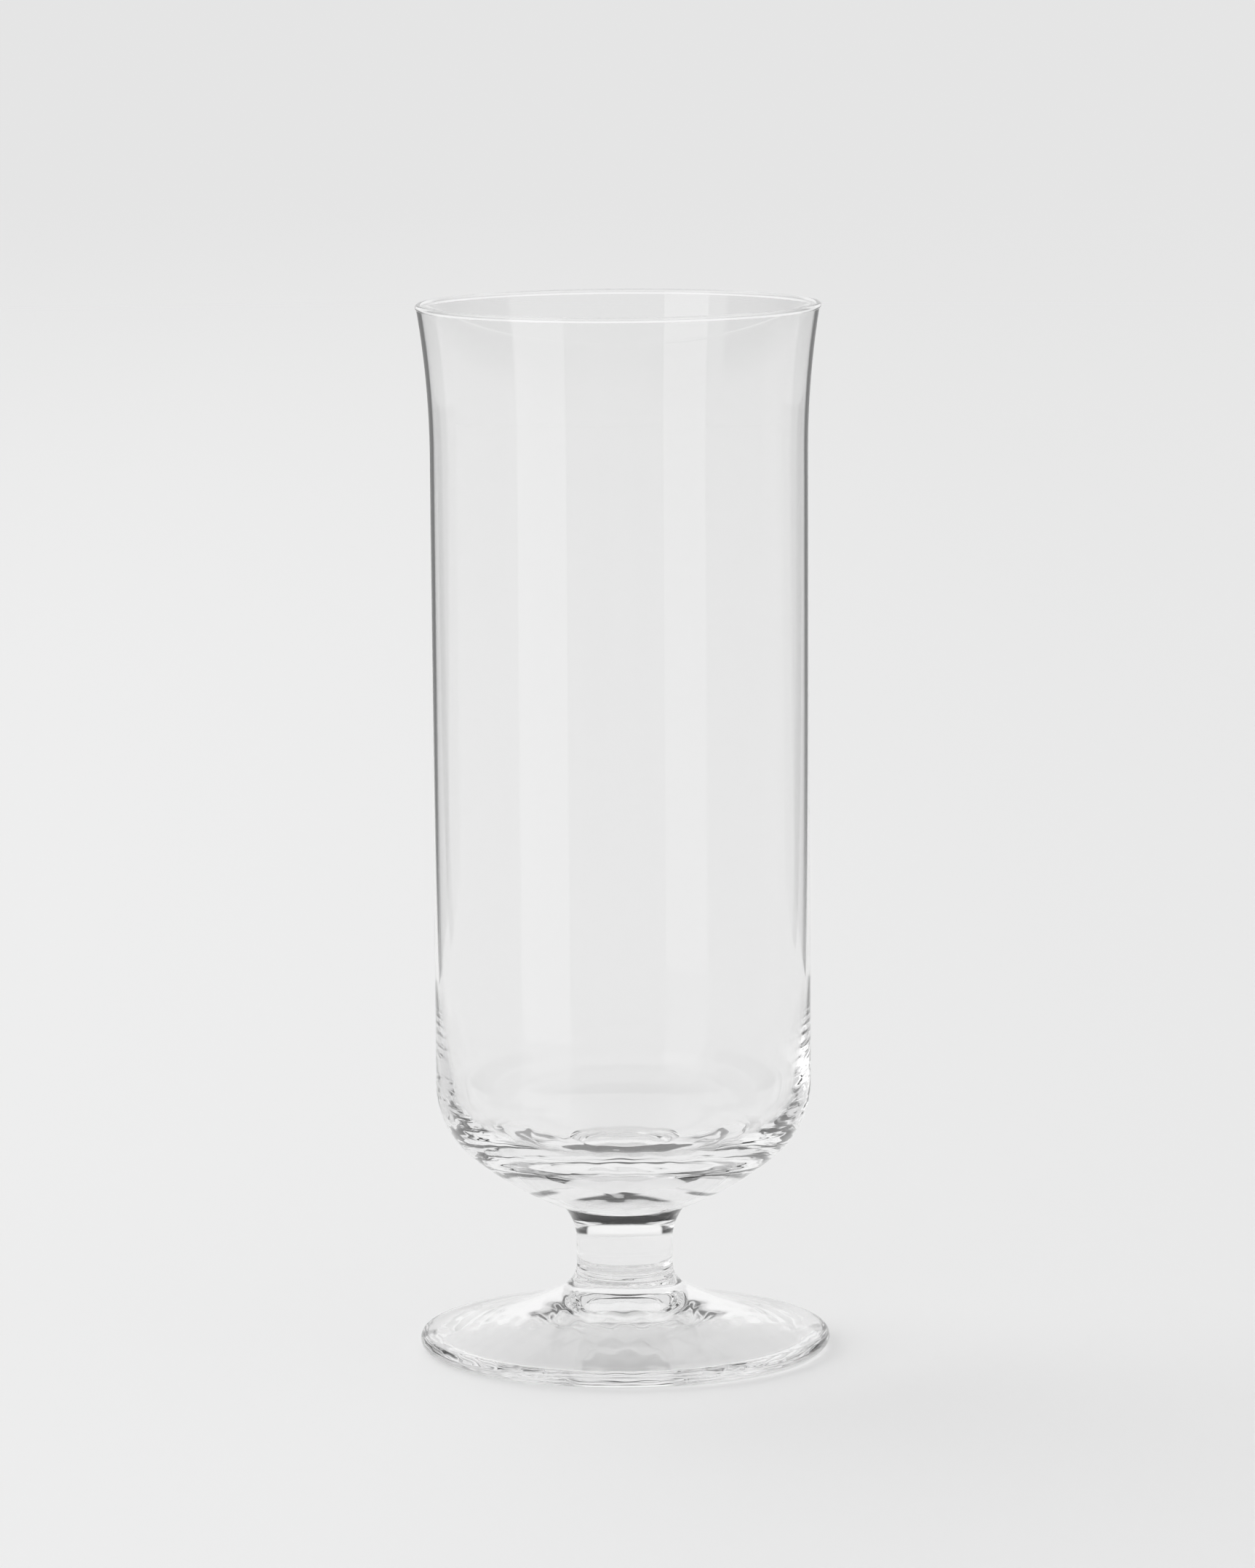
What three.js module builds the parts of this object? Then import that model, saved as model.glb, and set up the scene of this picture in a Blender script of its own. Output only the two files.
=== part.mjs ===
// Aperitif glass: a tall straight bowl with a gently flared rim, on a short waisted stem and a round foot.
// It is made of three gathers of clear glass, each worked hot and fused to the next on a flat joint face.
// Millimetres and degrees, +Z up. The origin is the centre of the ring that the glass stands on.
import * as THREE from "three";

// The whole glass.
const TOTAL_HEIGHT = 170;
const RIM_RADIUS = 32.5;

// The foot: a shallow cone of even thickness, hollow underneath, that rises to a collar round the stem.
const FOOT_RADIUS = 33.3;
const FOOT_LOWER_ROUND = 1.6;
const FOOT_UPPER_ROUND = 1.2;
const FOOT_EDGE_SLOPE = 7;
const STANDING_RING = 2.5;
const HOLLOW_DEPTH = 7.3;
const HOLLOW_CROWN = 34;
const COLLAR_SLOPE = 27.5;
const COLLAR_FILLET = 4.8;
const COLLAR_SPREAD = 0.6;

// The stem: a solid waist that flares out under the bowl.
const WAIST_RADIUS = 7.8;
const WAIST_LENGTH = 3.6;
const STEM_FLARE = 8.95;
const STEM_SPREAD = 2.15;

// The bowl's outside: a shallow base, a round corner, a straight wall and a flared rim with a rolled lip.
const BOWL_RADIUS = 30.4;
const BASE_SLOPE = 21;
const BASE_ARC = 52.7;
const BASE_CORNER = 14.7;
const RIM_FLARE = 145;
const LIP_PROUD = 0.4;
const LIP_INSET = 0.15;

// The bowl's inside: a thin wall that thickens downwards to a heavy round base.
const WALL = 0.65;
const BASE_GLASS = 9.5;
const CAVITY_DISH = 145;
const CAVITY_CORNER = 10.8;
const WALL_SPREAD_ARC = 132;
const WALL_LEAN = 7.8;

// How far a facet may stray from its curve, and the number of facets round the axis.
const FACET_ERROR = 0.04;
const FACETS_AROUND = 64;

const sine = (degrees) => Math.sin(THREE.MathUtils.degToRad(degrees));
const cosine = (degrees) => Math.cos(THREE.MathUtils.degToRad(degrees));
const arcCosine = (ratio) => THREE.MathUtils.radToDeg(Math.acos(ratio));
const arcSine = (ratio) => THREE.MathUtils.radToDeg(Math.asin(ratio));
const arcTangent = (up, across) => THREE.MathUtils.radToDeg(Math.atan2(up, across));

// Headings along a profile: x is the distance from the axis, y is the height.
const OUTWARDS = 0;
const UPWARDS = 90;
const INWARDS = 180;
const DOWNWARDS = 270;

// A profile is drawn as a path that goes straight, or turns on an arc from one heading to another.
class Profile {
  constructor(radius, height) {
    this.points = [new THREE.Vector2(radius, height)];
  }

  get end() {
    return this.points[this.points.length - 1];
  }

  lineTo(radius, height) {
    this.points.push(new THREE.Vector2(radius, height));
    return this;
  }

  turn(arcRadius, from, to) {
    const start = this.end.clone();
    const side = Math.sign(to - from) * arcRadius;
    const finestTurn = 2 * arcCosine(1 - FACET_ERROR / Math.max(arcRadius, 2 * FACET_ERROR));
    const steps = Math.max(2, Math.ceil(Math.abs(to - from) / finestTurn));
    for (let step = 1; step <= steps; step += 1) {
      const heading = from + ((to - from) * step) / steps;
      const across = side * (sine(heading) - sine(from));
      const up = side * (cosine(from) - cosine(heading));
      this.lineTo(start.x + across, start.y + up);
    }
    return this;
  }

  // Closes the profile with a flat disc at the height of its end.
  toAxis() {
    return this.lineTo(0, this.end.y);
  }

  // Moves the end onto the axis, where an arc has brought it but for rounding.
  endOnAxis() {
    this.end.x = 0;
    return this;
  }
}

// The turn, in degrees, of an arc that leaves the vertical and ends `shift` further out, or in if negative.
function bendTurn(shift, arcRadius) {
  return Math.sign(shift) * arcCosine(1 - Math.abs(shift) / arcRadius);
}

// Clear, colourless glass with a fire-polished surface.
const clearGlass = () =>
  new THREE.MeshStandardMaterial({
    color: 0xf4f7f6,
    roughness: 0.02,
    metalness: 0,
    transparent: true,
    opacity: 0.35,
  });

function turned(name, profile) {
  const geometry = new THREE.LatheGeometry(profile.points, FACETS_AROUND);
  geometry.rotateX(Math.PI / 2);
  const mesh = new THREE.Mesh(geometry, clearGlass());
  mesh.name = name;
  return mesh;
}

// The foot stands on a flat ring round a conical hollow, whose crown is an arc that the cone touches.
// Its top is one arc from the edge to the collar.
function footProfile() {
  const ringRadius = FOOT_RADIUS - FOOT_LOWER_ROUND;
  const hollowRadius = ringRadius - STANDING_RING;
  const crownCentre = HOLLOW_DEPTH - HOLLOW_CROWN;
  const crownReach = Math.hypot(hollowRadius, crownCentre);
  const hollowSlope = arcSine(HOLLOW_CROWN / crownReach) + arcTangent(crownCentre, hollowRadius);
  const edgeHeading = INWARDS - FOOT_EDGE_SLOPE;
  const collarHeading = INWARDS - COLLAR_SLOPE;
  const jointHeading = UPWARDS + bendTurn(COLLAR_SPREAD, COLLAR_FILLET);
  const collarFoot = WAIST_RADIUS + COLLAR_FILLET * (1 - sine(collarHeading));

  const profile = new Profile(0, HOLLOW_DEPTH);
  profile.turn(HOLLOW_CROWN, OUTWARDS, -hollowSlope);
  profile.lineTo(hollowRadius, 0);
  profile.lineTo(ringRadius, 0);
  profile.turn(FOOT_LOWER_ROUND, OUTWARDS, UPWARDS);
  profile.turn(FOOT_UPPER_ROUND, UPWARDS, edgeHeading);
  const topArc = (profile.end.x - collarFoot) / (sine(collarHeading) - sine(edgeHeading));
  profile.turn(topArc, edgeHeading, collarHeading);
  return profile.turn(COLLAR_FILLET, collarHeading, jointHeading);
}

function stemProfile(footJoint) {
  const profile = new Profile(0, footJoint.y);
  profile.lineTo(footJoint.x, footJoint.y);
  profile.turn(COLLAR_FILLET, UPWARDS + bendTurn(COLLAR_SPREAD, COLLAR_FILLET), UPWARDS);
  profile.lineTo(profile.end.x, profile.end.y + WAIST_LENGTH);
  return profile.turn(STEM_FLARE, UPWARDS, UPWARDS - bendTurn(STEM_SPREAD, STEM_FLARE));
}

function bowlProfile(stemJoint) {
  const lipRadius = (WALL + LIP_PROUD + LIP_INSET) / 2;
  const lipCentre = new THREE.Vector2(RIM_RADIUS - lipRadius, TOTAL_HEIGHT - lipRadius);
  const outerMeet = arcCosine(1 - LIP_PROUD / lipRadius);
  const flareEnd = lipCentre.x + lipRadius - LIP_PROUD;
  const flareEndHeight = lipCentre.y - lipRadius * sine(outerMeet);
  const flareTurn = bendTurn(flareEnd - BOWL_RADIUS, RIM_FLARE);

  const baseSpread = BOWL_RADIUS - stemJoint.x;
  const cornerSine = (baseSpread - BASE_CORNER + BASE_ARC * sine(BASE_SLOPE)) / (BASE_ARC - BASE_CORNER);
  const cornerHeading = arcSine(cornerSine);

  const profile = new Profile(0, stemJoint.y);
  profile.lineTo(stemJoint.x, stemJoint.y);
  profile.turn(BASE_ARC, BASE_SLOPE, cornerHeading);
  profile.turn(BASE_CORNER, cornerHeading, UPWARDS);
  profile.lineTo(BOWL_RADIUS, flareEndHeight - RIM_FLARE * Math.abs(sine(flareTurn)));
  profile.turn(RIM_FLARE, UPWARDS, UPWARDS - flareTurn);

  // The lip's roll runs from the outer face over the top to the inner face.
  const innerMeet = arcCosine(1 - LIP_INSET / lipRadius);
  profile.turn(lipRadius, UPWARDS - outerMeet, UPWARDS);
  profile.turn(lipRadius, UPWARDS, INWARDS);
  profile.turn(lipRadius, INWARDS, DOWNWARDS + innerMeet);

  // The inner face keeps the wall's thickness along the flare and the straight wall.
  const innerRadius = BOWL_RADIUS - WALL;
  const innerFlare = RIM_FLARE + WALL * Math.sign(flareTurn);
  const innerFlareTurn = bendTurn(profile.end.x - innerRadius, innerFlare);
  profile.turn(innerFlare, DOWNWARDS - innerFlareTurn, DOWNWARDS);

  // Below the straight wall the glass thickens, and the cavity closes in a corner and a shallow dish.
  const wallReach = CAVITY_CORNER * cosine(WALL_LEAN) + WALL_SPREAD_ARC * (1 - cosine(WALL_LEAN));
  const dishSlope = arcSine((innerRadius - wallReach) / (CAVITY_DISH - CAVITY_CORNER));
  const dishRise = CAVITY_DISH * (1 - cosine(dishSlope));
  const cornerRise = CAVITY_CORNER * (cosine(dishSlope) - sine(WALL_LEAN));
  const wallRise = WALL_SPREAD_ARC * sine(WALL_LEAN);
  const wallStart = stemJoint.y + BASE_GLASS + dishRise + cornerRise + wallRise;
  profile.lineTo(innerRadius, wallStart);
  profile.turn(WALL_SPREAD_ARC, DOWNWARDS, DOWNWARDS - WALL_LEAN);
  profile.turn(CAVITY_CORNER, DOWNWARDS - WALL_LEAN, INWARDS + dishSlope);
  profile.turn(CAVITY_DISH, INWARDS + dishSlope, INWARDS);
  return profile.endOnAxis();
}

const foot = footProfile();
const footJoint = foot.end.clone();
const stem = stemProfile(footJoint);
const stemJoint = stem.end.clone();
const bowl = bowlProfile(stemJoint);

const glass = new THREE.Group();
glass.name = "aperitif_glass";
glass.add(turned("foot", foot.toAxis()));
glass.add(turned("stem", stem.toAxis()));
glass.add(turned("bowl", bowl));

export default glass;
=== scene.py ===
"""Aperitif glass: the bowl, stem and foot in clear glass, with a pale stage, soft light and the camera."""

import math

import bpy
from bpy.props import FloatProperty, IntProperty, PointerProperty
from bpy.types import Operator, Panel, PropertyGroup
from mathutils import Matrix, Vector


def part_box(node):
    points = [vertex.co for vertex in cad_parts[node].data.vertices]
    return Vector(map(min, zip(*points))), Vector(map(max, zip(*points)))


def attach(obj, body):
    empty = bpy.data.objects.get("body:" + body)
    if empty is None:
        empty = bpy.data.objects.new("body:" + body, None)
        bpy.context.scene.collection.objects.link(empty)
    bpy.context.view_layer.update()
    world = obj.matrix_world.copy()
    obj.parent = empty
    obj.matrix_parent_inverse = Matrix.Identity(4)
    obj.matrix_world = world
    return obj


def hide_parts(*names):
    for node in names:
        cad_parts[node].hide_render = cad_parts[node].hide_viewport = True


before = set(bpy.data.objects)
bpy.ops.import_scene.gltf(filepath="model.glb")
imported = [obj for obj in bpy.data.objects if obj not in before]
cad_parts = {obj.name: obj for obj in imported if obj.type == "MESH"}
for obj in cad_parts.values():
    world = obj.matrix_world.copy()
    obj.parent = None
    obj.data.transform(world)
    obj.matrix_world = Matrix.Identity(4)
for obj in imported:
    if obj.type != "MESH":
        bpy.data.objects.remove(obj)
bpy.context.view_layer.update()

bl_info = {
    "name": "Aperitif glass",
    "version": (1, 0, 0),
    "blender": (4, 5, 0),
    "location": "3D View > Sidebar > Glass",
    "description": "Makes a footed aperitif glass of three fused gathers, with a stage to see it on",
    "category": "Add Mesh",
}

MM = 0.001

# The photograph's height and focal length in its pixels, and the sensor's width in millimetres.
PHOTO_HEIGHT_PIXELS = 2156
PHOTO_FOCAL_PIXELS = 9708
SENSOR = 36.0

# Headings along a profile, which is drawn with its radius across and its height up.
OUTWARDS = 0.0
UPWARDS = math.pi / 2
INWARDS = math.pi
DOWNWARDS = 1.5 * math.pi

# An arc has a few steps at least, and a limited number for each facet turn.
LEAST_ARC_STEPS = 3
MOST_STEPS_PER_FACET_TURN = 4

# A face whose points all lie on a joint has a seam of one.
WHOLLY_FUSED = 0.99

# The most faces of glass that light passes or bounces off.
LIGHT_BOUNCES = 32

# A ray's count of bounces is over this after the first one.
NO_BOUNCE = 0.5

BOWL_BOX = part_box("bowl")
STEM_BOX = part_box("stem")
FOOT_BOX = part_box("foot")


def length(label, words, default):
    """A property in metres."""
    return FloatProperty(name=label, description=words, default=default, subtype="DISTANCE", unit="LENGTH",
                         precision=5)


def angle(label, words, degrees):
    """A property shown in degrees and kept in radians."""
    return FloatProperty(name=label, description=words, default=math.radians(degrees), subtype="ANGLE",
                         unit="ROTATION")


def amount(label, words, default):
    """A plain number."""
    return FloatProperty(name=label, description=words, default=default, precision=4)


class BowlSizes(PropertyGroup):
    """Sizes of the bowl, from the frame where it has them."""

    height: length("Height", "From the table to the top of the lip", BOWL_BOX[1].z)
    joint_height: length("Joint height", "Height of the face that is fused to the stem", BOWL_BOX[0].z)
    joint_radius: length("Joint radius", "Radius of the face that is fused to the stem", STEM_BOX[1].x)
    rim_radius: length("Rim radius", "Outermost radius of the lip", BOWL_BOX[1].x)
    radius: length("Radius", "Outer radius of the straight wall", 30.4 * MM)
    base_slope: angle("Base slope", "Slope of the base where it leaves the stem", 21)
    base_arc: length("Base arc", "Radius of the base's long curve", 52.7 * MM)
    base_corner: length("Base corner", "Radius of the corner between base and wall", 14.7 * MM)
    rim_flare: length("Rim flare", "Radius of the curve that leads the wall out to the lip", 145 * MM)
    lip_proud: length("Lip proud", "How far the lip stands out from the outer face", 0.18 * MM)
    lip_inset: length("Lip inset", "How far the lip stands in from the inner face", 0.14 * MM)
    wall: length("Wall", "Thickness of the straight wall", 0.65 * MM)
    base_glass: length("Base glass", "Glass between the cavity and the stem's joint, on the axis", 9.5 * MM)
    cavity_dish: length("Cavity dish", "Radius of the cavity's shallow floor", 145 * MM)
    cavity_corner: length("Cavity corner", "Radius of the corner inside the bowl", 10.8 * MM)
    wall_spread_arc: length("Wall spread", "Radius of the curve along which the wall thickens", 132 * MM)
    wall_lean: angle("Wall lean", "Lean of the inner wall where the corner starts", 7.8)


class StemSizes(PropertyGroup):
    """Sizes of the stem, from the frame where it has them."""

    low_height: length("Low height", "Height of the face that is fused to the foot", STEM_BOX[0].z)
    high_height: length("High height", "Height of the face that is fused to the bowl", STEM_BOX[1].z)
    high_radius: length("High radius", "Radius of the face that is fused to the bowl", STEM_BOX[1].x)
    waist_radius: length("Waist radius", "Radius of the narrowest stretch", 7.8 * MM)
    waist_length: length("Waist length", "Height of the straight stretch", 3.6 * MM)
    flare: length("Flare", "Radius of the curve out to the bowl", 8.95 * MM)
    collar_fillet: length("Collar fillet", "Radius of the curve out to the foot", 4.8 * MM)
    collar_spread: length("Collar spread", "How far the lower joint is wider than the waist", 0.6 * MM)


class FootSizes(PropertyGroup):
    """Sizes of the foot, from the frame where it has them."""

    radius: length("Radius", "Outermost radius", FOOT_BOX[1].x)
    lower_round: length("Lower round", "Radius of the edge's lower half", 1.6 * MM)
    upper_round: length("Upper round", "Radius of the edge's upper half", 1.2 * MM)
    edge_slope: angle("Edge slope", "Slope of the top where it meets the edge", 7)
    standing_ring: length("Standing ring", "Width of the flat ring that the glass stands on", 2.5 * MM)
    hollow_depth: length("Hollow depth", "Depth of the hollow under the foot", 7.3 * MM)
    hollow_crown: length("Hollow crown", "Radius of the arc at the top of the hollow cone", 34 * MM)
    collar_slope: angle("Collar slope", "Slope of the top where it meets the collar", 27.5)


class GlassFinish(PropertyGroup):
    """How the glass looks and how finely it is drawn."""

    facets: IntProperty(name="Facets", description="Facets round the axis", default=256, min=16)
    facet_turn: angle("Facet turn", "Most that a curve turns from one ring of points to the next", 2.5)
    wall_step: length("Wall step", "Most that a straight stretch runs from ring to ring", 1.5 * MM)
    crease: angle("Crease", "Turn between two faces past which their edge is sharp", 20)
    merge_distance: length("Merge distance", "How close points are that become one", 0.001 * MM)
    refraction: amount("Index of refraction", "How strongly the glass bends light", 1.5)
    clarity: amount("Clarity", "Share of light that passes one wall", 0.98)
    wave_height: length("Wave height", "Height of the slow waves on the floor of the bowl", 0.35 * MM)
    wave_size: length("Wave size", "Distance from wave to wave", 22 * MM)
    ring_height: length("Ring height", "Height of the fine tool rings low on the stem", 0.012 * MM)
    ring_pitch: length("Ring pitch", "Distance from ring to ring", 1.0 * MM)
    ring_tilt: amount("Ring tilt", "How far the rings lean to one side", 0.04)
    ring_low: length("Ring low", "Where the rings start above the table", 8.6 * MM)
    ring_high: length("Ring high", "Where the rings end", 12.4 * MM)
    ring_reach: length("Ring reach", "Radius outside which there are no rings", 10 * MM)
    streak_height: length("Streak height", "Height of the faint streaks drawn up the wall", 0.01 * MM)
    streak_size: length("Streak size", "Distance from streak to streak", 5 * MM)
    streak_lean: amount("Streak lean", "How far the streaks lean to one side", 0.2)
    streak_share: amount("Streak share", "How fine the streaks are front to back, against side to side", 0.7)
    streak_low: length("Streak low", "Where the streaks are strongest, above the table", 36 * MM)
    streak_high: length("Streak high", "Where the streaks have faded out", 75 * MM)
    wiped: amount("Wiped", "Roughness where the glass was wiped, which is fire-polished elsewhere", 0.03)
    wiped_size: length("Wiped size", "Distance from one wiped place to the next", 18 * MM)
    wiped_low: amount("Wiped low", "Value of the clouds at which a wiped place starts", 0.62)
    wiped_high: amount("Wiped high", "Value of the clouds at which a wiped place is roughest", 0.85)


class StageSettings(PropertyGroup):
    """The floor, its light, the studio and the cards that the glass shows, and the camera."""

    floor_radius: length("Floor radius", "Radius of the pale floor", 3.4)
    floor_sides: IntProperty(name="Floor sides", description="Straight edges round the floor", default=96,
                             min=8)
    floor_gap: length("Floor gap", "Air between the floor and the glass", 0.05 * MM)
    floor_fade: length("Floor fade", "Radius at which the floor starts to fade into the background", 0.4)
    floor_tone: amount("Floor tone", "How pale the floor is under the glass", 0.88)
    # Painted shade: the floor's colour is darker on the right, standing in for light that falls from the
    # left.
    painted_shade_slant: amount("Floor slant", "How much darker the floor is on the right than on the left", 0.05)
    painted_shade_width: length("Slant width", "Width over which the floor darkens from left to right", 0.4)
    far_tone: amount("Far tone", "Tone of the background that the camera sees beyond the floor", 0.785)
    soft_light: amount("Soft light", "Strength of the soft light that falls on the floor", 0.71)
    glass_light: amount("Glass light", "Share of that light that reaches the floor through the glass", 0.82)
    lamp_tone: amount("Lamp tone", "What a wide low lamp adds to the soft light, as a share of it", 3.2)
    lamp_bearing: angle("Lamp bearing", "Bearing of the lamp, anticlockwise from the right", 130)
    lamp_reach: angle("Lamp reach", "How far the lamp's light reaches round from its middle", 68)
    room_tone: amount("Room tone", "Tone of the dark sides of the studio, seen in the glass", 0.06)
    wall_rise: angle("Wall rise", "Height at which the studio's walls have their full tone", 6)
    wall_top: angle("Wall top", "How high the studio's walls reach", 27)
    backdrop_tone: amount("Backdrop tone", "Tone of the backdrop behind the glass, seen in the glass", 0.95)
    backdrop_reach: angle("Backdrop reach", "Half of the bearing that the backdrop fills", 38)
    front_tone: amount("Front tone", "Tone of the studio in front of the glass", 0.62)
    front_reach: angle("Front reach", "Half of the bearing of the studio's front", 68)
    upper_tone: amount("Upper tone", "Tone of the studio between its walls and its ceiling", 0.92)
    ceiling_rise: angle("Ceiling rise", "Height at which the ceiling starts", 48)
    ceiling_tone: amount("Ceiling tone", "Tone of the ceiling on both sides", 0.6)
    strip_tone: amount("Strip tone", "Tone of the strip along the middle of the ceiling", 0.04)
    strip_reach: angle("Strip reach", "How far the strip reaches to each side of upright", 26)
    edge_blur: angle("Edge blur", "Softness of the edges between these", 3)
    flag_tone: amount("Flag tone", "Tone of the two dark cards on the floor behind the glass", 0.2)
    flag_near: length("Flag near", "How far behind the glass the dark cards start", 0.31)
    flag_far: length("Flag far", "How far behind the glass the dark cards end", 2.2)
    flag_width: length("Flag width", "Width of the near end of a dark card", 0.05)
    flag_spread: angle("Flag spread", "How far the outer edge of a dark card turns out", 24)
    right_flag: length("Right flag", "How far to the right the right card starts", 0.196)
    right_splay: angle("Right splay", "How far the inner edge of the right card turns out", 7)
    left_flag: length("Left flag", "How far to the left the left card starts", 0.18)
    left_splay: angle("Left splay", "How far the inner edge of the left card turns out", 3.5)
    shade_tone: amount("Shade tone", "Tone of the grey cards beyond the dark ones", 0.58)
    shade_width: length("Shade width", "Width of a grey card at its near end", 0.12)
    shade_spread: angle("Shade spread", "How far the outer edge of a grey card turns out", 55)
    flag_lift: length("Flag lift", "How high the dark and grey cards lie above the table", 1.0 * MM)
    card_tone: amount("Card tone", "Tone of the white card in front on the left", 1.3)
    card_bearing: angle("Card bearing", "Bearing of the card, clockwise from the front", 45)
    card_distance: length("Card distance", "From the axis to the card", 0.193)
    card_width: length("Card width", "Width of the card", 0.104)
    card_height: length("Card height", "Height of the card", 0.23)
    lens: FloatProperty(name="Lens", description="Focal length in millimetres", unit="CAMERA",
                        default=SENSOR * PHOTO_FOCAL_PIXELS / PHOTO_HEIGHT_PIXELS)
    camera_distance: length("Camera distance", "How far the camera stands in front of the axis", 1.1285)
    camera_height: length("Camera height", "Height of the camera above the table", 0.2511)
    camera_side: length("Camera side", "How far the camera stands to the right of the axis", 0.98 * MM)
    camera_tilt: angle("Camera tilt", "How far the camera looks down", 8.01)
    camera_roll: angle("Camera roll", "How far the camera is turned anticlockwise about its view", -0.40)
    camera_near: length("Camera near", "Distance from the camera at which its view starts", 0.01)


class GlassSettings(PropertyGroup):
    """All that can be set on the glass and its stage."""

    bowl: PointerProperty(type=BowlSizes)
    stem: PointerProperty(type=StemSizes)
    foot: PointerProperty(type=FootSizes)
    finish: PointerProperty(type=GlassFinish)
    stage: PointerProperty(type=StageSettings)


class Wire:
    """An output of a node that can be used in arithmetic: each operation adds a Math node to its graph."""

    def __init__(self, graph, socket):
        self.graph = graph
        self.socket = socket

    def math(self, operation, first, second=0.0):
        return self.graph.node("ShaderNodeMath", {"operation": operation}, {0: first, 1: second})

    def __add__(self, other):
        return self.math("ADD", self, other)

    def __sub__(self, other):
        return self.math("SUBTRACT", self, other)

    def __rsub__(self, other):
        return self.math("SUBTRACT", other, self)

    def __mul__(self, other):
        return self.math("MULTIPLY", self, other)

    def __truediv__(self, other):
        return self.math("DIVIDE", self, other)

    def __rtruediv__(self, other):
        return self.math("DIVIDE", other, self)

    def cosine(self):
        return self.math("COSINE", self)

    def sine(self):
        return self.math("SINE", self)

    def absolute(self):
        return self.math("ABSOLUTE", self)

    def over(self, limit):
        return self.math("GREATER_THAN", self, limit)

    def ramp(self, low, high):
        """Rises smoothly from nothing at low to one at high."""
        return self.graph.node("ShaderNodeMapRange", {"interpolation_type": "SMOOTHSTEP"},
                               {"Value": self, "From Min": low, "From Max": high})

    def toward(self, other, share):
        """Goes from this to another value by a share."""
        return self + (other - self) * share


class Graph:
    """A node tree whose nodes are all made by one method."""

    def __init__(self, tree):
        self.tree = tree
        tree.nodes.clear()

    def node(self, kind, settings=None, inputs=None, output=0):
        """Adds a node, sets it up, gives its inputs values or links, and returns one of its outputs."""
        made = self.tree.nodes.new(kind)
        for name, value in (settings or {}).items():
            setattr(made, name, value)
        for key, value in (inputs or {}).items():
            if isinstance(value, Wire):
                self.tree.links.new(value.socket, made.inputs[key])
            else:
                made.inputs[key].default_value = value
        if not made.outputs:
            return made
        return Wire(self, made.outputs[output])

    def other_output(self, wire, output):
        """Another output of the node that a wire comes from."""
        return Wire(self, wire.socket.node.outputs[output])


class Profile:
    """Half of a section through a piece, drawn from the axis round and back to the axis, in metres.

    Each point carries whether it lies on a fused face, and its share of the waves.
    """

    def __init__(self, finish, height, fused):
        self.finish = finish
        self.points = []
        self.seams = []
        self.waves = []
        self.wave = 0.0
        self.add(0.0, height, fused)

    @property
    def end(self):
        return self.points[-1]

    def add(self, radius, height, fused=False):
        self.points.append((radius, height))
        self.seams.append(1.0 if fused else 0.0)
        self.waves.append(self.wave)

    def line(self, radius, height):
        """Goes straight to a point, in steps."""
        start_radius, start_height = self.end
        run = math.hypot(radius - start_radius, height - start_height)
        steps = max(1, math.ceil(run / self.finish.wall_step))
        for step in range(1, steps + 1):
            share = step / steps
            self.add(start_radius + share * (radius - start_radius),
                     start_height + share * (height - start_height))

    def turn(self, arc_radius, first, last, wave=0.0):
        """Turns on an arc from one heading to another, and brings the waves to a share of their height."""
        start_radius, start_height = self.end
        start_wave = self.wave
        side = math.copysign(arc_radius, last - first)
        by_turn = abs(last - first) / self.finish.facet_turn
        by_run = abs(last - first) * arc_radius / self.finish.wall_step
        most_steps = MOST_STEPS_PER_FACET_TURN * max(by_turn, 1)
        steps = max(LEAST_ARC_STEPS, math.ceil(min(max(by_turn, by_run), most_steps)))
        for step in range(1, steps + 1):
            heading = first + (last - first) * step / steps
            self.wave = start_wave + (wave - start_wave) * step / steps
            self.add(start_radius + side * (math.sin(heading) - math.sin(first)),
                     start_height + side * (math.cos(first) - math.cos(heading)))

    def fuse_out(self, radius):
        """Draws the fused face from the axis out to its edge."""
        self.add(radius, self.end[1], fused=True)

    def fuse_in(self):
        """Draws the fused face from its edge in to the axis."""
        self.seams[-1] = 1.0
        self.add(0.0, self.end[1], fused=True)

    def end_on_axis(self):
        """Moves the last point onto the axis, where an arc has brought it but for rounding."""
        self.points[-1] = (0.0, self.end[1])

    def mesh(self, name):
        """The section as a line of edges in the XZ plane, with what its points carry."""
        mesh = bpy.data.meshes.new(name)
        edges = [(i, i + 1) for i in range(len(self.points) - 1)]
        mesh.from_pydata([(radius, 0.0, height) for radius, height in self.points], edges, [])
        mesh.attributes.new("seam", "FLOAT", "POINT").data.foreach_set("value", self.seams)
        mesh.attributes.new("wave", "FLOAT", "POINT").data.foreach_set("value", self.waves)
        return mesh


def bend_turn(shift, arc_radius):
    """The turn of an arc that leaves the vertical and ends shift further out."""
    return math.acos(1 - shift / arc_radius)


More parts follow.
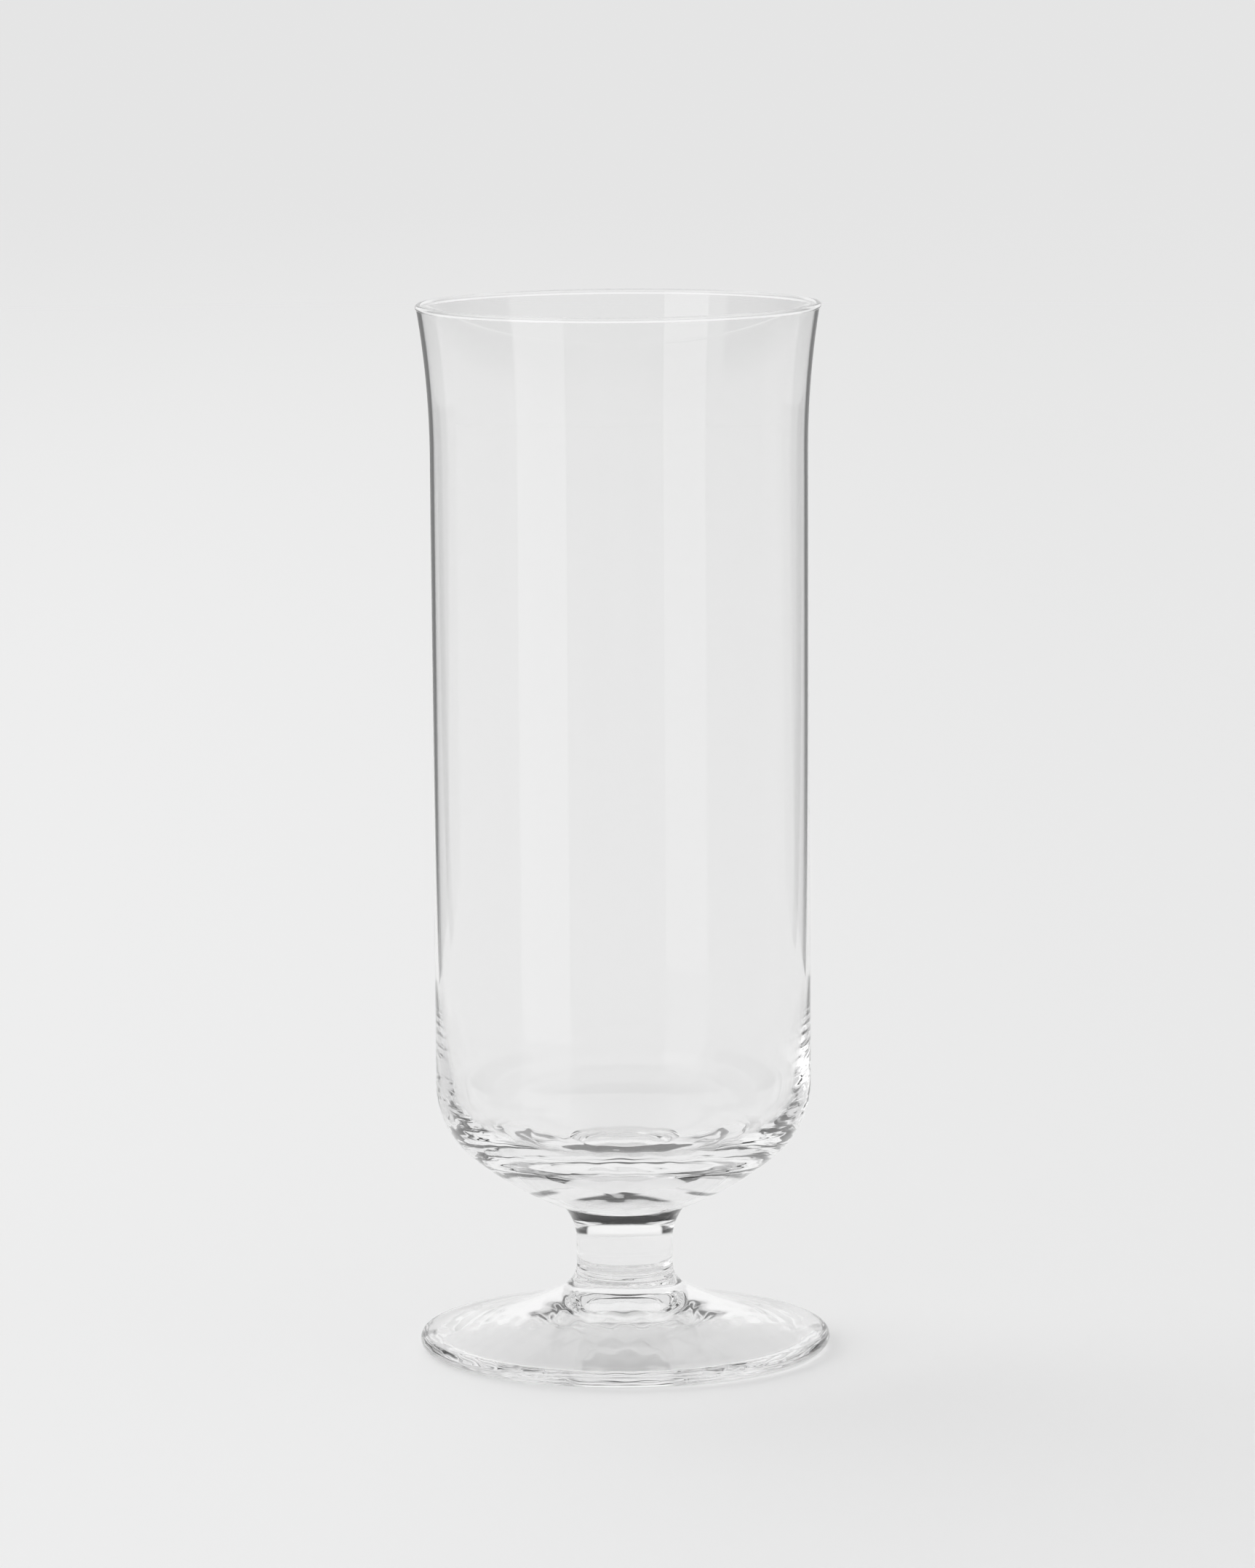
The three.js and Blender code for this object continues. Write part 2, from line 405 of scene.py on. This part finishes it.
def foot_section(foot, stem, finish):
    """The hollow, the standing ring, the edge, the top and the collar up to the stem."""
    ring = foot.radius - foot.lower_round
    hollow = ring - foot.standing_ring
    crown_centre = foot.hollow_depth - foot.hollow_crown
    crown_reach = math.hypot(hollow, crown_centre)
    hollow_slope = math.asin(foot.hollow_crown / crown_reach) + math.atan2(crown_centre, hollow)
    edge = INWARDS - foot.edge_slope
    collar = INWARDS - foot.collar_slope
    joint = UPWARDS + bend_turn(stem.collar_spread, stem.collar_fillet)
    collar_foot = stem.waist_radius + stem.collar_fillet * (1 - math.sin(collar))

    section = Profile(finish, foot.hollow_depth, fused=False)
    section.turn(foot.hollow_crown, OUTWARDS, -hollow_slope)
    section.line(hollow, 0.0)
    section.line(ring, 0.0)
    section.turn(foot.lower_round, OUTWARDS, UPWARDS)
    section.turn(foot.upper_round, UPWARDS, edge)
    top_arc = (section.end[0] - collar_foot) / (math.sin(collar) - math.sin(edge))
    section.turn(top_arc, edge, collar)
    section.turn(stem.collar_fillet, collar, joint)
    section.fuse_in()
    return section


def stem_section(stem, finish):
    """The collar's upper end, the waist and the flare out to the bowl."""
    section = Profile(finish, stem.low_height, fused=True)
    section.fuse_out(stem.waist_radius + stem.collar_spread)
    section.turn(stem.collar_fillet, UPWARDS + bend_turn(stem.collar_spread, stem.collar_fillet), UPWARDS)
    section.line(section.end[0], section.end[1] + stem.waist_length)
    spread = stem.high_radius - stem.waist_radius
    section.turn(stem.flare, UPWARDS, UPWARDS - bend_turn(spread, stem.flare))
    section.fuse_in()
    return section


def bowl_section(bowl, finish):
    """The base, the wall and its flare, the lip, and the inner face down to the waves on the floor."""
    lip = (bowl.wall + bowl.lip_proud + bowl.lip_inset) / 2
    outer_meet = math.acos(1 - bowl.lip_proud / lip)
    inner_meet = math.acos(1 - bowl.lip_inset / lip)
    flare_turn = bend_turn(bowl.rim_radius - bowl.lip_proud - bowl.radius, bowl.rim_flare)
    flare_end_height = bowl.height - lip - lip * math.sin(outer_meet)

    spread = bowl.radius - bowl.joint_radius
    corner_sine = ((spread - bowl.base_corner + bowl.base_arc * math.sin(bowl.base_slope))
                   / (bowl.base_arc - bowl.base_corner))
    corner = math.asin(corner_sine)

    section = Profile(finish, bowl.joint_height, fused=True)
    section.fuse_out(bowl.joint_radius)
    section.turn(bowl.base_arc, bowl.base_slope, corner)
    section.turn(bowl.base_corner, corner, UPWARDS)
    section.line(bowl.radius, flare_end_height - bowl.rim_flare * math.sin(flare_turn))
    section.turn(bowl.rim_flare, UPWARDS, UPWARDS - flare_turn)
    section.turn(lip, UPWARDS - outer_meet, DOWNWARDS + inner_meet)

    inner = bowl.radius - bowl.wall
    inner_flare = bowl.rim_flare + bowl.wall
    section.turn(inner_flare, DOWNWARDS - bend_turn(section.end[0] - inner, inner_flare), DOWNWARDS)

    lean = bowl.wall_lean
    wall_reach = bowl.cavity_corner * math.cos(lean) + bowl.wall_spread_arc * (1 - math.cos(lean))
    dish_slope = math.asin((inner - wall_reach) / (bowl.cavity_dish - bowl.cavity_corner))
    dish_rise = bowl.cavity_dish * (1 - math.cos(dish_slope))
    corner_rise = bowl.cavity_corner * (math.cos(dish_slope) - math.sin(lean))
    wall_rise = bowl.wall_spread_arc * math.sin(lean)
    section.line(inner, bowl.joint_height + bowl.base_glass + dish_rise + corner_rise + wall_rise)
    section.turn(bowl.wall_spread_arc, DOWNWARDS, DOWNWARDS - lean)
    section.turn(bowl.cavity_corner, DOWNWARDS - lean, INWARDS + dish_slope, wave=1.0)
    section.turn(bowl.cavity_dish, INWARDS + dish_slope, INWARDS, wave=1.0)
    section.end_on_axis()
    return section


LATHE_INPUTS = {
    "Section": "NodeSocketGeometry",
    "Facets": "NodeSocketInt",
    "Wave height": "NodeSocketFloat",
    "Wave size": "NodeSocketFloat",
    "Crease": "NodeSocketFloat",
    "Merge distance": "NodeSocketFloat",
    "Glass": "NodeSocketMaterial",
    "Seam": "NodeSocketMaterial",
}


def lathe_tree():
    """Geometry nodes that turn a section round the axis into a closed piece of glass."""
    tree = bpy.data.node_groups.new("glass_lathe", "GeometryNodeTree")
    tree.is_modifier = True
    for name, kind in LATHE_INPUTS.items():
        tree.interface.new_socket(name, in_out="INPUT", socket_type=kind)
    tree.interface.new_socket("Glass piece", in_out="OUTPUT", socket_type="NodeSocketGeometry")
    graph = Graph(tree)
    given = graph.node("NodeGroupInput")

    def setting(name):
        return graph.other_output(given, name)

    # A flat grid has a row for each point of the section and a column for each facet.
    section = setting("Section")
    rows = graph.node("GeometryNodeAttributeDomainSize", {"component": "MESH"}, {"Geometry": section})
    facets = setting("Facets")
    grid = graph.node("GeometryNodeMeshGrid", None, {
        "Size X": rows - 1.0,
        "Size Y": facets,
        "Vertices X": rows,
        "Vertices Y": facets + 1.0,
    }, "Mesh")
    place = graph.node("GeometryNodeInputPosition")
    row = graph.node("ShaderNodeSeparateXYZ", None, {0: place})
    column = graph.other_output(row, 1)
    row_number = graph.node("FunctionNodeFloatToInt", {"rounding_mode": "ROUND"},
                            {0: row + (rows - 1.0) * 0.5})

    def on_section(kind, field):
        """What the section carries at a grid point's row."""
        return graph.node("GeometryNodeSampleIndex", {"data_type": kind, "domain": "POINT"},
                          {"Geometry": section, "Value": field, "Index": row_number})

    def carried(name):
        return graph.node("GeometryNodeInputNamedAttribute", {"data_type": "FLOAT"}, {"Name": name})

    for name in ("seam", "wave"):
        grid = graph.node("GeometryNodeStoreNamedAttribute", {"data_type": "FLOAT", "domain": "POINT"},
                          {"Geometry": grid, "Name": name, "Value": on_section("FLOAT", carried(name))})

    # Each row is wound round the axis, with the waves that blowing leaves.
    drawn = graph.node("ShaderNodeSeparateXYZ", None, {0: on_section("FLOAT_VECTOR", place)})
    height = graph.other_output(drawn, 2)
    bearing = (facets * 0.5 - column) * (2 * math.pi) / facets

    def wound(level):
        return graph.node("ShaderNodeCombineXYZ", None,
                          {0: drawn * bearing.cosine(), 1: drawn * bearing.sine(), 2: level})

    noise = graph.node("ShaderNodeTexNoise", {"noise_dimensions": "3D"}, {
        "Vector": wound(height),
        "Scale": 1.0 / setting("Wave size"),
        "Detail": 1.0,
    })
    ripple = (noise - 0.5) * 2.0 * setting("Wave height") * carried("wave")
    piece = graph.node("GeometryNodeSetPosition", None,
                       {"Geometry": grid, "Position": wound(height + ripple)})
    piece = graph.node("GeometryNodeMergeByDistance", None,
                       {"Geometry": piece, "Distance": setting("Merge distance")})

    # Curves are smooth, and edges where the surface turns sharply are creases.
    piece = graph.node("GeometryNodeSetShadeSmooth", {"domain": "FACE"},
                       {"Geometry": piece, "Shade Smooth": True})
    turn = graph.node("GeometryNodeInputMeshEdgeAngle")
    piece = graph.node("GeometryNodeSetShadeSmooth", {"domain": "EDGE"}, {
        "Geometry": piece,
        "Selection": turn.over(setting("Crease")),
        "Shade Smooth": False,
    })
    piece = graph.node("GeometryNodeRealizeInstances", None, {"Geometry": piece})
    piece = graph.node("GeometryNodeSetMaterial", None, {"Geometry": piece, "Material": setting("Glass")})
    fused = graph.node("GeometryNodeFieldOnDomain", {"data_type": "FLOAT", "domain": "FACE"},
                       {"Value": carried("seam")})
    piece = graph.node("GeometryNodeSetMaterial", None, {
        "Geometry": piece,
        "Selection": fused.over(WHOLLY_FUSED),
        "Material": setting("Seam"),
    })
    graph.node("NodeGroupOutput", None, {0: piece})
    return tree


def turned_glass(name, section, finish):
    """Turns a section into a finished mesh object."""
    tree = bpy.data.node_groups.get("glass_lathe") or lathe_tree()
    drawn = bpy.data.objects.new(name + "_section", section.mesh(name + "_section"))
    bpy.context.scene.collection.objects.link(drawn)
    modifier = drawn.modifiers.new("Lathe", "NODES")
    modifier.node_group = tree
    values = {
        "Facets": finish.facets,
        "Wave height": finish.wave_height,
        "Wave size": finish.wave_size,
        "Crease": finish.crease,
        "Merge distance": finish.merge_distance,
        "Glass": clear_glass(finish),
        "Seam": fused_seam(),
    }
    for item in tree.interface.items_tree:
        if item.in_out == "INPUT" and item.name in values:
            modifier[item.identifier] = values[item.name]
    depsgraph = bpy.context.evaluated_depsgraph_get()
    mesh = bpy.data.meshes.new_from_object(drawn.evaluated_get(depsgraph), depsgraph=depsgraph)
    if not mesh.polygons:
        raise RuntimeError("the lathe made no faces for the " + name)
    mesh.name = name
    # The lathe leaves its first slot empty.
    mesh.materials.pop(index=0)
    drawn.modifiers.remove(modifier)
    bpy.data.objects.remove(drawn)
    piece = bpy.data.objects.new(name + "_glass", mesh)
    bpy.context.scene.collection.objects.link(piece)
    return piece


def dress(name, section, finish):
    """Makes a piece, puts it on the root body, and hides the imported part whose place it takes."""
    piece = turned_glass(name, section, finish)
    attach(piece, "root")
    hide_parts(name)


def tool_rings(finish, graph, across, along, height):
    """Height of the fine rings round the lower end of the stem, a little uneven."""
    level = graph.node("ShaderNodeCombineXYZ", None, {0: across, 1: along})
    reach = graph.node("ShaderNodeVectorMath", {"operation": "LENGTH"}, {0: level}, "Value")
    soft = 0.5 * finish.ring_pitch
    ringed = (height.ramp(finish.ring_low - soft, finish.ring_low + soft)
              * (1.0 - height.ramp(finish.ring_high - soft, finish.ring_high + soft))
              * (1.0 - reach.ramp(finish.ring_reach - soft, finish.ring_reach + soft)))
    uneven = height + (across + along) * finish.ring_tilt
    return (uneven * (2 * math.pi / finish.ring_pitch)).sine() * ringed * finish.ring_height


def wall_streaks(finish, across, along, height):
    """Height of the faint streaks up the lower wall."""
    pitch = 2 * math.pi / finish.streak_size
    leaning = ((across + height * finish.streak_lean) * pitch).sine()
    crossing = (along * (finish.streak_share * pitch)).sine()
    low = 1.0 - height.ramp(finish.streak_low, finish.streak_high)
    return leaning * crossing * low * finish.streak_height


def clear_glass(finish):
    """Clear fire-polished glass with fine tool rings, faint streaks and wiped places."""
    existing = bpy.data.materials.get("fire_polished_glass")
    if existing:
        return existing
    material = bpy.data.materials.new("fire_polished_glass")
    material.use_nodes = True
    graph = Graph(material.node_tree)
    place = graph.node("ShaderNodeTexCoord", None, None, "Object")
    across = graph.node("ShaderNodeSeparateXYZ", None, {0: place})
    along = graph.other_output(across, 1)
    height = graph.other_output(across, 2)
    rings = tool_rings(finish, graph, across, along, height)
    streaks = wall_streaks(finish, across, along, height)
    relief = graph.node("ShaderNodeBump", None, {"Strength": 1.0, "Distance": 1.0, "Height": rings + streaks})
    clouds = graph.node("ShaderNodeTexNoise", {"noise_dimensions": "3D"},
                        {"Vector": place, "Scale": 1.0 / finish.wiped_size, "Detail": 0.0})
    surface = graph.node("ShaderNodeBsdfPrincipled", None, {
        "Base Color": (finish.clarity, finish.clarity, finish.clarity, 1.0),
        "Roughness": clouds.ramp(finish.wiped_low, finish.wiped_high) * finish.wiped,
        "IOR": finish.refraction,
        "Transmission Weight": 1.0,
        "Normal": relief,
    })
    graph.node("ShaderNodeOutputMaterial", None, {"Surface": surface})
    return material


def fused_seam():
    """The fused faces inside the glass, which can't be seen."""
    existing = bpy.data.materials.get("fused_seam")
    if existing:
        return existing
    material = bpy.data.materials.new("fused_seam")
    material.use_nodes = True
    graph = Graph(material.node_tree)
    surface = graph.node("ShaderNodeBsdfTransparent")
    graph.node("ShaderNodeOutputMaterial", None, {"Surface": surface})
    return material


def stage_object(name, points, material):
    """A flat piece of the stage with one face."""
    mesh = bpy.data.meshes.new(name)
    mesh.from_pydata(points, [], [range(len(points))])
    mesh.materials.append(material)
    made = bpy.data.objects.new(name, mesh)
    bpy.context.scene.collection.objects.link(made)
    return made


def grey(graph, value):
    """A neutral colour of one tone."""
    return graph.node("ShaderNodeCombineXYZ", None, {0: value, 1: value, 2: value})


def floor_disc(stage):
    """A round pale floor that fades into the background at its edge, with a painted shade that darkens it
    towards the right.
    """
    material = bpy.data.materials.new("pale_floor")
    material.use_nodes = True
    graph = Graph(material.node_tree)
    place = graph.node("ShaderNodeTexCoord", None, None, "Object")
    across = graph.node("ShaderNodeSeparateXYZ", None, {0: place})
    reach = graph.node("ShaderNodeVectorMath", {"operation": "LENGTH"}, {0: place}, "Value")
    # Painted shade: the floor's colour darkens from left to right, as if lit from the left, besides the real
    # light that falls on it.
    slant = (across.ramp(-0.5 * stage.painted_shade_width, 0.5 * stage.painted_shade_width) - 0.5) * stage.painted_shade_slant
    pale = graph.node("ShaderNodeBsdfDiffuse", None, {"Color": grey(graph, stage.floor_tone - slant)})
    clear = graph.node("ShaderNodeBsdfTransparent")
    surface = graph.node("ShaderNodeMixShader", None,
                         {0: reach.ramp(stage.floor_fade, stage.floor_radius), 1: pale, 2: clear})
    graph.node("ShaderNodeOutputMaterial", None, {"Surface": surface})
    turns = [2 * math.pi * side / stage.floor_sides for side in range(stage.floor_sides)]
    stage_object("floor", [(stage.floor_radius * math.cos(turn), stage.floor_radius * math.sin(turn),
                            -stage.floor_gap) for turn in turns], material)


def card(name, corners, strength):
    """A card of even tone, which shows only where the glass reflects it."""
    material = bpy.data.materials.new(name)
    material.use_nodes = True
    graph = Graph(material.node_tree)
    reflected = graph.node("ShaderNodeLightPath", None, None, "Glossy Depth").over(NO_BOUNCE)
    clear = graph.node("ShaderNodeBsdfTransparent")
    glow = graph.node("ShaderNodeEmission", None, {"Strength": strength})
    surface = graph.node("ShaderNodeMixShader", None, {0: reflected, 1: clear, 2: glow})
    graph.node("ShaderNodeOutputMaterial", None, {"Surface": surface})
    panel = stage_object(name, corners, material)
    panel.visible_camera = False
    panel.visible_diffuse = False
    panel.visible_shadow = False


def white_card(stage):
    """A white card that stands in front on the left."""
    toward = Vector((-math.sin(stage.card_bearing), -math.cos(stage.card_bearing), 0.0))
    along = toward.cross(Vector((0.0, 0.0, 1.0))) * stage.card_width / 2
    middle = toward * stage.card_distance
    rise = Vector((0.0, 0.0, stage.card_height))
    card("white_card", [middle - along, middle + along, middle + along + rise, middle - along + rise],
         stage.card_tone)


def floor_cards(stage):
    """Cards that lie behind the glass, beside the camera's view.

    On each side a dark card draws the edge of the wall, and a grey one beyond it shades the wall near there.
    """
    run = stage.flag_far - stage.flag_near

    def edge(side, start, turn):
        """The edge of a card, from its near end to its far end."""
        return [Vector((side * start, stage.flag_near, stage.flag_lift)),
                Vector((side * (start + run * math.tan(turn)), stage.flag_far, stage.flag_lift))]

    for name, side, start, splay in (("right", 1.0, stage.right_flag, stage.right_splay),
                                     ("left", -1.0, stage.left_flag, stage.left_splay)):
        middle = start + stage.flag_width
        inner_edge = edge(side, start, splay)
        middle_edge = edge(side, middle, stage.flag_spread)
        outer_edge = edge(side, middle + stage.shade_width, stage.shade_spread)
        card(name + "_dark_card", inner_edge + middle_edge[::-1], stage.flag_tone)
        card(name + "_grey_card", middle_edge + outer_edge[::-1], stage.shade_tone)


def studio_tone(stage, right, up, facing):
    """What the glass sees: a pale backdrop and front, dark sides, and a ceiling with a dark strip."""
    blur = stage.edge_blur
    behind = facing.ramp(math.cos(stage.backdrop_reach + blur), math.cos(stage.backdrop_reach - blur))
    before = facing.ramp(-math.cos(stage.front_reach + blur), -math.cos(stage.front_reach - blur))
    spread = behind * (stage.backdrop_tone - stage.room_tone) + before * (stage.front_tone - stage.room_tone)

    # The walls start from the tone of the far floor.
    rising = up.ramp(0.0, math.sin(stage.wall_rise))
    walls = (spread + (stage.room_tone - stage.far_tone)) * rising + stage.far_tone
    above = up.ramp(math.sin(stage.wall_top - blur), math.sin(stage.wall_top + blur))
    ceiling = up.ramp(math.sin(stage.ceiling_rise - blur), math.sin(stage.ceiling_rise + blur))
    beside = right.absolute().ramp(math.sin(stage.strip_reach - blur), math.sin(stage.strip_reach + blur))
    overhead = beside * (stage.ceiling_tone - stage.strip_tone) + stage.strip_tone
    return walls.toward(stage.upper_tone, above).toward(overhead, ceiling)


def floor_light(stage, right, ahead):
    """The light that falls on the floor: soft, with a wide low lamp on one side."""
    near_lamp = right * math.cos(stage.lamp_bearing) + ahead * math.sin(stage.lamp_bearing)
    lamp = near_lamp.ramp(math.cos(stage.lamp_reach), 1.0) * stage.lamp_tone
    return (lamp + 1.0) * stage.soft_light


def studio_world(stage):
    """The studio. The camera sees a plain background, the floor a soft light, and the glass the walls."""
    world = bpy.data.worlds.new("studio")
    world.use_nodes = True
    bpy.context.scene.world = world
    graph = Graph(world.node_tree)
    looking = graph.node("ShaderNodeTexCoord", None, None, "Object")
    right = graph.node("ShaderNodeSeparateXYZ", None, {0: looking})
    ahead = graph.other_output(right, 1)
    up = graph.other_output(right, 2)
    level = graph.node("ShaderNodeVectorMath", {"operation": "NORMALIZE"},
                       {0: graph.node("ShaderNodeCombineXYZ", None, {0: right, 1: ahead})})
    facing = graph.other_output(graph.node("ShaderNodeSeparateXYZ", None, {0: level}), 1)

    room = studio_tone(stage, right, up, facing)
    light = floor_light(stage, right, ahead)

    # A glossy ray that has bounced off the floor stands for the light that falls through the glass.
    seen = graph.node("ShaderNodeLightPath", None, None, "Is Camera Ray")
    by_glass = graph.other_output(seen, "Is Glossy Ray")
    falling = graph.other_output(seen, "Diffuse Depth").over(NO_BOUNCE)
    through = room.toward(light * stage.glass_light, falling)
    colour = light.toward(through, by_glass).toward(stage.far_tone, seen)
    background = graph.node("ShaderNodeBackground", None, {"Color": grey(graph, colour)})
    graph.node("ShaderNodeOutputWorld", None, {"Surface": background})


def long_light_paths():
    """Lets light pass through as many faces of glass as it needs, and keeps it sharp."""
    cycles = bpy.context.scene.cycles
    cycles.max_bounces = LIGHT_BOUNCES
    cycles.glossy_bounces = LIGHT_BOUNCES
    cycles.transmission_bounces = LIGHT_BOUNCES
    cycles.transparent_max_bounces = LIGHT_BOUNCES
    cycles.blur_glossy = 0.0


def photo_camera(stage):
    """The camera at the photograph's place, with its framing."""
    data = bpy.data.cameras.new("camera")
    data.sensor_width = SENSOR
    data.lens = stage.lens
    data.clip_start = stage.camera_near
    camera = bpy.data.objects.new("camera", data)
    bpy.context.scene.collection.objects.link(camera)
    place = Matrix.Translation(Vector((stage.camera_side, -stage.camera_distance, stage.camera_height)))
    tilt = Matrix.Rotation(math.pi / 2 - stage.camera_tilt, 4, "X")
    roll = Matrix.Rotation(stage.camera_roll, 4, "Z")
    camera.matrix_world = place @ tilt @ roll
    bpy.context.scene.camera = camera


class GLASS_OT_bowl(Operator):
    """Make the bowl"""

    bl_idname = "glass.bowl"
    bl_label = "Bowl"

    def execute(self, context):
        settings = context.scene.aperitif_glass
        dress("bowl", bowl_section(settings.bowl, settings.finish), settings.finish)
        return {"FINISHED"}


class GLASS_OT_stem(Operator):
    """Make the stem"""

    bl_idname = "glass.stem"
    bl_label = "Stem"

    def execute(self, context):
        settings = context.scene.aperitif_glass
        dress("stem", stem_section(settings.stem, settings.finish), settings.finish)
        return {"FINISHED"}


class GLASS_OT_foot(Operator):
    """Make the foot"""

    bl_idname = "glass.foot"
    bl_label = "Foot"

    def execute(self, context):
        settings = context.scene.aperitif_glass
        dress("foot", foot_section(settings.foot, settings.stem, settings.finish), settings.finish)
        return {"FINISHED"}


class GLASS_OT_stage(Operator):
    """Make the floor, the cards, the light and the camera"""

    bl_idname = "glass.stage"
    bl_label = "Stage"

    def execute(self, context):
        stage = context.scene.aperitif_glass.stage
        floor_disc(stage)
        white_card(stage)
        floor_cards(stage)
        studio_world(stage)
        long_light_paths()
        photo_camera(stage)
        context.scene.view_settings.view_transform = "Standard"
        return {"FINISHED"}


class GLASS_PT_sidebar(Panel):
    """Has a button for the stage and for each piece of the glass"""

    bl_idname = "GLASS_PT_sidebar"
    bl_label = "Aperitif glass"
    bl_space_type = "VIEW_3D"
    bl_region_type = "UI"
    bl_category = "Glass"

    def draw(self, context):
        for operator in OPERATORS:
            self.layout.operator(operator.bl_idname)


GROUPS = (BowlSizes, StemSizes, FootSizes, GlassFinish, StageSettings, GlassSettings)
OPERATORS = (GLASS_OT_stage, GLASS_OT_foot, GLASS_OT_stem, GLASS_OT_bowl)
CLASSES = GROUPS + OPERATORS + (GLASS_PT_sidebar,)


def register():
    for each in CLASSES:
        bpy.utils.register_class(each)
    bpy.types.Scene.aperitif_glass = PointerProperty(type=GlassSettings)


def unregister():
    del bpy.types.Scene.aperitif_glass
    for each in reversed(CLASSES):
        bpy.utils.unregister_class(each)


def main():
    register()
    bpy.ops.glass.stage()
    bpy.ops.glass.foot()
    bpy.ops.glass.stem()
    bpy.ops.glass.bowl()


if __name__ == "__main__":
    main()
